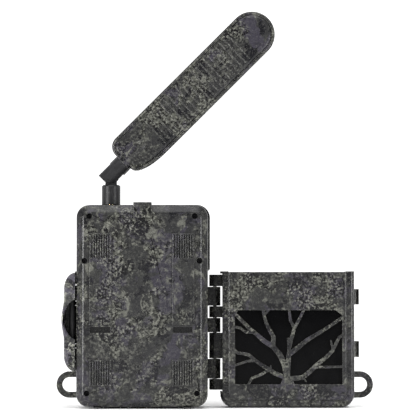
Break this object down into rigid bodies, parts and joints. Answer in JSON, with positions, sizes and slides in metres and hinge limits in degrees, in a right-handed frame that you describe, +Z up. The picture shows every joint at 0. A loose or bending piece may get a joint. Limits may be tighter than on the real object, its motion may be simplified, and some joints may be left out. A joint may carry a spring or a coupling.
{
  "type": "trail camera",
  "caption": "Weatherproof trail camera with a side-hinged lamp door, draw latch, pull-out battery tray and jointed paddle antenna.",
  "frame": {"origin": "mouth of the tripod socket in the underside of the back shell", "axes": "+Z up, opposite to the way the tripod screw leaves; +Y the way the lens looks; +X right when the back of the camera is faced"},
  "size_m": [0.2375, 0.0742, 0.2985],
  "materials": {
    "black_screw": "blackened",
    "board": "solder mask",
    "brass": "bright",
    "card_plastic": "satin",
    "cell_jacket": "printed sleeve",
    "chip": "tinned",
    "dark_plastic": "satin",
    "display_glass": "glossy",
    "indicator": "diffuse",
    "key_plastic": "satin",
    "lamp_body": "clear dark epoxy",
    "lamp_window": "glossy, passes infrared",
    "lens_glass": "coated",
    "milky_plastic": "frosted",
    "optic_black": "glossy",
    "panel_plastic": "fine grain",
    "rubber": "matte",
    "shell": "matte camouflage print",
    "sim_plastic": "satin",
    "steel": "satin"
  },
  "bodies": {
    "case": {"back_shell": "shell", "front_housing": "shell", "inner_panel": "panel_plastic", "battery_bay": "panel_plastic", "bay_contacts": "brass", "case_gasket": "rubber", "feet": "rubber", "tripod_insert": "brass", "rear_screws": "black_screw", "hinge_pin": "steel", "main_board": "board", "modem_module": "chip", "sensor_board": "board", "image_sensor": "dark_plastic", "lens_holder": "dark_plastic", "lens_barrel": "dark_plastic", "lens_elements": "lens_glass", "lens_bezel": "optic_black", "lens_window": "lens_glass", "pir_lens": "milky_plastic", "pir_sensor": "chip", "light_sensor": "lens_glass", "status_lamp": "indicator", "antenna_jack": "brass", "display_window": "display_glass", "display_module": "dark_plastic", "key_mat": "rubber", "switch_body": "chip", "sd_reader": "chip", "sim_reader": "chip", "power_pins": "brass"},
    "door": {"door_shell": "shell", "lamp_window": "lamp_window", "lamp_board": "board", "infrared_lamps": "lamp_body", "door_liner": "panel_plastic", "liner_screws": "steel", "door_gasket": "rubber", "power_pads": "dark_plastic"},
    "lever": {"latch_lever": "shell", "lever_pins": "steel"},
    "link": {"latch_link": "dark_plastic"},
    "antenna_foot": {"antenna_base": "dark_plastic", "antenna_coupler": "brass"},
    "antenna": {"tilt_pin": "steel", "antenna_sleeve": "dark_plastic", "paddle_back": "shell", "paddle_front": "shell", "antenna_element": "board"},
    "tray": {"battery_tray": "panel_plastic", "battery_cells": "cell_jacket", "cell_contacts": "steel"},
    "sd_card": {"sd_card": "card_plastic"},
    "sim_card": {"sim_card": "sim_plastic"},
    "mode_switch": {"mode_switch": "key_plastic"},
    "key_up": {"key_up": "key_plastic"},
    "key_down": {"key_down": "key_plastic"},
    "key_left": {"key_left": "key_plastic"},
    "key_right": {"key_right": "key_plastic"},
    "key_ok": {"key_ok": "key_plastic"}
  },
  "joints": [
    {"name": "door_hinge", "type": "hinge", "parent": "case", "child": "door", "pos_m": [0.05365, 0.021, 0.05], "axis": [0, 0, 1], "range_deg": [0, 180]},
    {"name": "lever_pivot", "type": "hinge", "parent": "case", "child": "lever", "pos_m": [-0.0524, 0.012, 0.061], "axis": [0, 0, -1], "range_deg": [0, 110]},
    {"name": "link_pivot", "type": "hinge", "parent": "lever", "child": "link", "pos_m": [-0.0512, 0.0045, 0.061], "axis": [0, 0, 1], "range_deg": [0, 85]},
    {"name": "antenna_swivel", "type": "hinge", "parent": "case", "child": "antenna_foot", "pos_m": [-0.025, 0.03, 0.1503], "axis": [0, 0, 1], "continuous": true},
    {"name": "antenna_tilt", "type": "hinge", "parent": "antenna_foot", "child": "antenna", "pos_m": [-0.025, 0.03, 0.1729], "axis": [0, 1, 0], "range_deg": [-45, 45]},
    {"name": "tray_slide", "type": "slide", "parent": "case", "child": "tray", "axis": [0, -1, 0], "range_m": [-0.034, 0]},
    {"name": "sd_card_slide", "type": "slide", "parent": "case", "child": "sd_card", "axis": [0, -1, 0], "range_m": [-0.028, 0]},
    {"name": "sim_card_slide", "type": "slide", "parent": "case", "child": "sim_card", "axis": [0, -1, 0], "range_m": [-0.022, 0]},
    {"name": "switch_slide", "type": "slide", "parent": "case", "child": "mode_switch", "axis": [1, 0, 0], "range_m": [-0.004, 0.004]},
    {"name": "press_up", "type": "slide", "parent": "case", "child": "key_up", "axis": [0, -1, 0], "range_m": [0, 0.0009], "stiffness_N_per_m": 400},
    {"name": "press_down", "type": "slide", "parent": "case", "child": "key_down", "axis": [0, -1, 0], "range_m": [0, 0.0009], "stiffness_N_per_m": 400},
    {"name": "press_left", "type": "slide", "parent": "case", "child": "key_left", "axis": [0, -1, 0], "range_m": [0, 0.0009], "stiffness_N_per_m": 400},
    {"name": "press_right", "type": "slide", "parent": "case", "child": "key_right", "axis": [0, -1, 0], "range_m": [0, 0.0009], "stiffness_N_per_m": 400},
    {"name": "press_ok", "type": "slide", "parent": "case", "child": "key_ok", "axis": [0, -1, 0], "range_m": [0, 0.0009], "stiffness_N_per_m": 400}
  ],
  "couplings": [
    {"joint": "link_pivot", "follows": "lever_pivot", "ratio": 0.7727}
  ]
}
